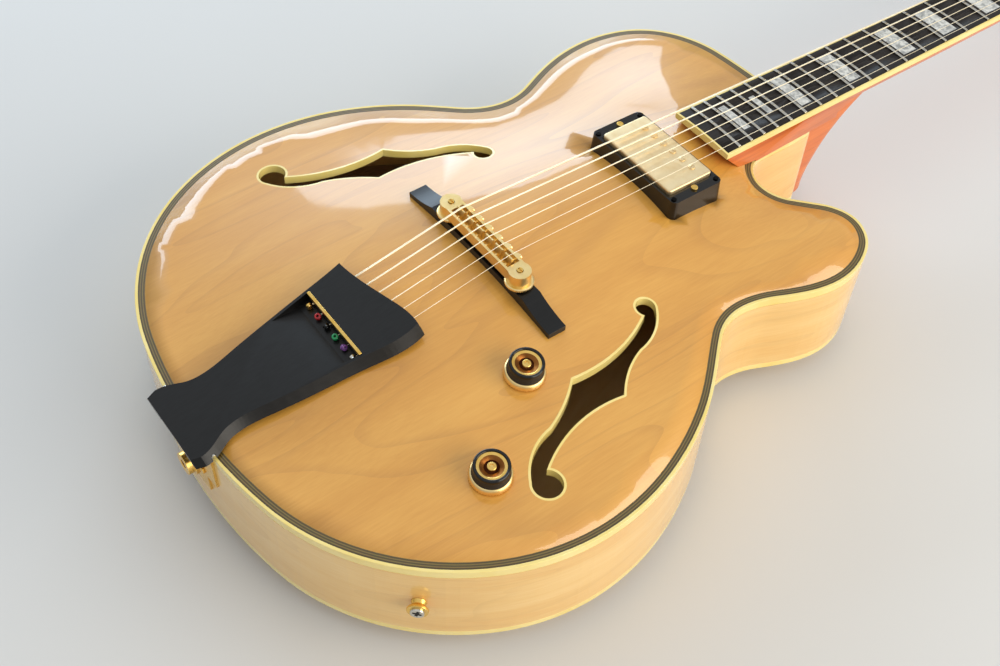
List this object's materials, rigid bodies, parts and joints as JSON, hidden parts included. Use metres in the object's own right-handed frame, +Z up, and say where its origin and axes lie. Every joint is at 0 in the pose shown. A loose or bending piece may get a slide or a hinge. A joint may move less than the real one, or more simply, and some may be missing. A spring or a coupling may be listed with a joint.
{
  "type": "archtop guitar",
  "caption": "Hollow single-cutaway archtop electric-acoustic guitar lying on its back, with sound holes, floating bridge, hinged tailpiece, pickup, controls and geared tuners.",
  "frame": {"origin": "under the middle of the whole guitar, at the lowest point of its back", "axes": "+Y towards the headstock, +Z up out of the top, +X towards the treble side"},
  "size_m": [0.401, 1.0336, 0.1263],
  "materials": {
    "honey_maple": "clear gloss lacquer over honey-stained figured maple",
    "pale_maple": "clear gloss lacquer over pale maple",
    "spruce": "bare wood inside the body",
    "mahogany": "gloss lacquer over red-brown mahogany",
    "ebony": "satin oiled ebony",
    "cream_plastic": "polished aged cream plastic",
    "purfling": "thin layered brown and cream lines under lacquer",
    "pearl": "polished pearl",
    "bone": "polished bone",
    "nickel": "polished nickel silver",
    "gold": "polished gold plate",
    "satin_gold": "satin gold plate",
    "black_plastic": "polished black plastic",
    "steel": "plain steel",
    "wound_steel": "wound and plain steel strings"
  },
  "bodies": {
    "guitar": {"top_plate": "honey_maple", "back_plate": "pale_maple", "bass_rib": "pale_maple", "treble_rib": "pale_maple", "top_binding": "cream_plastic", "top_purfling": "purfling", "back_binding": "cream_plastic", "f_hole_bindings": "cream_plastic", "linings": "spruce", "end_blocks": "mahogany", "tone_bars": "spruce", "neck": "mahogany", "fretboard": "ebony", "fretboard_binding": "cream_plastic", "frets": "nickel", "fret_inlays": "pearl", "nut": "bone", "truss_rod": "steel", "headstock_overlay": "ebony", "truss_rod_cover": "black_plastic", "tuner_casings": "gold", "small_screws": "gold", "strings": "wound_steel", "bridge_base": "ebony", "bridge_posts": "gold", "pickup_ring": "black_plastic", "potentiometers": "steel", "output_jack": "gold", "strap_buttons": "gold", "tailpiece_bracket": "gold", "tailpiece_pin": "nickel", "pickup_screws": "gold"},
    "tailpiece": {"tailpiece": "ebony", "string_bar": "gold", "ball_ends": "gold"},
    "bridge_frame": {"bridge_frame": "gold", "saddle_screws": "gold"},
    "saddle_1": {"saddle_1": "gold"},
    "saddle_2": {"saddle_2": "gold"},
    "saddle_3": {"saddle_3": "gold"},
    "saddle_4": {"saddle_4": "gold"},
    "saddle_5": {"saddle_5": "gold"},
    "saddle_6": {"saddle_6": "gold"},
    "bass_thumbwheel": {"bass_thumbwheel": "gold"},
    "treble_thumbwheel": {"treble_thumbwheel": "gold"},
    "pickup": {"pickup": "satin_gold"},
    "volume_knob": {"volume_knob": "black_plastic"},
    "tone_knob": {"tone_knob": "black_plastic"},
    "tuner_button_1": {"tuner_button_1": "gold"},
    "tuner_post_1": {"tuner_post_1": "gold"},
    "tuner_button_2": {"tuner_button_2": "gold"},
    "tuner_post_2": {"tuner_post_2": "gold"},
    "tuner_button_3": {"tuner_button_3": "gold"},
    "tuner_post_3": {"tuner_post_3": "gold"},
    "tuner_button_4": {"tuner_button_4": "gold"},
    "tuner_post_4": {"tuner_post_4": "gold"},
    "tuner_button_5": {"tuner_button_5": "gold"},
    "tuner_post_5": {"tuner_post_5": "gold"},
    "tuner_button_6": {"tuner_button_6": "gold"},
    "tuner_post_6": {"tuner_post_6": "gold"}
  },
  "joints": [
    {"name": "tailpiece_hinge", "type": "hinge", "parent": "guitar", "child": "tailpiece", "pos_m": [0, -0.50425, 0.092], "axis": [1, 0, 0], "range_deg": [0, 25], "deforming": ["strings"]},
    {"name": "bridge_height", "type": "slide", "parent": "guitar", "child": "bridge_frame", "axis": [0, 0, 1], "range_m": [-0.001, 0.004], "deforming": ["strings"]},
    {"name": "pickup_height", "type": "slide", "parent": "guitar", "child": "pickup", "axis": [0, 0.0359, 0.9994], "range_m": [-0.004, 0.001]},
    {"name": "bass_thumbwheel_turn", "type": "hinge", "parent": "bridge_frame", "child": "bass_thumbwheel", "pos_m": [-0.037, -0.29025, 0.11], "axis": [0, 0, 1], "range_deg": [-516, 2059]},
    {"name": "treble_thumbwheel_turn", "type": "hinge", "parent": "bridge_frame", "child": "treble_thumbwheel", "pos_m": [0.037, -0.29025, 0.11], "axis": [0, 0, 1], "range_deg": [-516, 2059]},
    {"name": "saddle_1_intonation", "type": "slide", "parent": "bridge_frame", "child": "saddle_1", "axis": [0, 1, 0], "range_m": [-0.0024, 0.0024], "deforming": ["strings"]},
    {"name": "saddle_2_intonation", "type": "slide", "parent": "bridge_frame", "child": "saddle_2", "axis": [0, 1, 0], "range_m": [-0.0024, 0.0024], "deforming": ["strings"]},
    {"name": "saddle_3_intonation", "type": "slide", "parent": "bridge_frame", "child": "saddle_3", "axis": [0, 1, 0], "range_m": [-0.0024, 0.0024], "deforming": ["strings"]},
    {"name": "saddle_4_intonation", "type": "slide", "parent": "bridge_frame", "child": "saddle_4", "axis": [0, 1, 0], "range_m": [-0.0024, 0.0024], "deforming": ["strings"]},
    {"name": "saddle_5_intonation", "type": "slide", "parent": "bridge_frame", "child": "saddle_5", "axis": [0, 1, 0], "range_m": [-0.0024, 0.0024], "deforming": ["strings"]},
    {"name": "saddle_6_intonation", "type": "slide", "parent": "bridge_frame", "child": "saddle_6", "axis": [0, 1, 0], "range_m": [-0.0024, 0.0024], "deforming": ["strings"]},
    {"name": "volume_knob_turn", "type": "hinge", "parent": "guitar", "child": "volume_knob", "pos_m": [0.08913, -0.32523, 0.09806], "axis": [0.1247, 0.0181, 0.992], "range_deg": [-150, 150]},
    {"name": "tone_knob_turn", "type": "hinge", "parent": "guitar", "child": "tone_knob", "pos_m": [0.13353, -0.38258, 0.09217], "axis": [0.0971, -0.0345, 0.9947], "range_deg": [-150, 150]},
    {"name": "tuner_button_6_turn", "type": "hinge", "parent": "guitar", "child": "tuner_button_6", "pos_m": [-0.02789, 0.39006, 0.05946], "axis": [-1, 0, 0], "continuous": true},
    {"name": "tuner_post_6_turn", "type": "hinge", "parent": "guitar", "child": "tuner_post_6", "pos_m": [-0.02039, 0.3895, 0.07991], "axis": [0, 0.2766, 0.961], "continuous": true},
    {"name": "tuner_button_5_turn", "type": "hinge", "parent": "guitar", "child": "tuner_button_5", "pos_m": [-0.03103, 0.43042, 0.04784], "axis": [-1, 0, 0], "continuous": true},
    {"name": "tuner_post_5_turn", "type": "hinge", "parent": "guitar", "child": "tuner_post_5", "pos_m": [-0.02353, 0.42986, 0.06829], "axis": [0, 0.2766, 0.961], "continuous": true},
    {"name": "tuner_button_4_turn", "type": "hinge", "parent": "guitar", "child": "tuner_button_4", "pos_m": [-0.03379, 0.47078, 0.03622], "axis": [-1, 0, 0], "continuous": true},
    {"name": "tuner_post_4_turn", "type": "hinge", "parent": "guitar", "child": "tuner_post_4", "pos_m": [-0.02629, 0.47022, 0.05667], "axis": [0, 0.2766, 0.961], "continuous": true},
    {"name": "tuner_button_3_turn", "type": "hinge", "parent": "guitar", "child": "tuner_button_3", "pos_m": [0.03379, 0.47078, 0.03622], "axis": [1, 0, 0], "continuous": true},
    {"name": "tuner_post_3_turn", "type": "hinge", "parent": "guitar", "child": "tuner_post_3", "pos_m": [0.02629, 0.47022, 0.05667], "axis": [0, 0.2766, 0.961], "continuous": true},
    {"name": "tuner_button_2_turn", "type": "hinge", "parent": "guitar", "child": "tuner_button_2", "pos_m": [0.03103, 0.43042, 0.04784], "axis": [1, 0, 0], "continuous": true},
    {"name": "tuner_post_2_turn", "type": "hinge", "parent": "guitar", "child": "tuner_post_2", "pos_m": [0.02353, 0.42986, 0.06829], "axis": [0, 0.2766, 0.961], "continuous": true},
    {"name": "tuner_button_1_turn", "type": "hinge", "parent": "guitar", "child": "tuner_button_1", "pos_m": [0.02789, 0.39006, 0.05946], "axis": [1, 0, 0], "continuous": true},
    {"name": "tuner_post_1_turn", "type": "hinge", "parent": "guitar", "child": "tuner_post_1", "pos_m": [0.02039, 0.3895, 0.07991], "axis": [0, 0.2766, 0.961], "continuous": true}
  ],
  "couplings": [
    {"joint": "bass_thumbwheel_turn", "follows": "bridge_height", "rad_per_m": 8976},
    {"joint": "treble_thumbwheel_turn", "follows": "bridge_height", "rad_per_m": 8976},
    {"joint": "tuner_post_6_turn", "follows": "tuner_button_6_turn", "ratio": 0.071429},
    {"joint": "tuner_post_5_turn", "follows": "tuner_button_5_turn", "ratio": 0.071429},
    {"joint": "tuner_post_4_turn", "follows": "tuner_button_4_turn", "ratio": 0.071429},
    {"joint": "tuner_post_3_turn", "follows": "tuner_button_3_turn", "ratio": 0.071429},
    {"joint": "tuner_post_2_turn", "follows": "tuner_button_2_turn", "ratio": 0.071429},
    {"joint": "tuner_post_1_turn", "follows": "tuner_button_1_turn", "ratio": 0.071429}
  ]
}
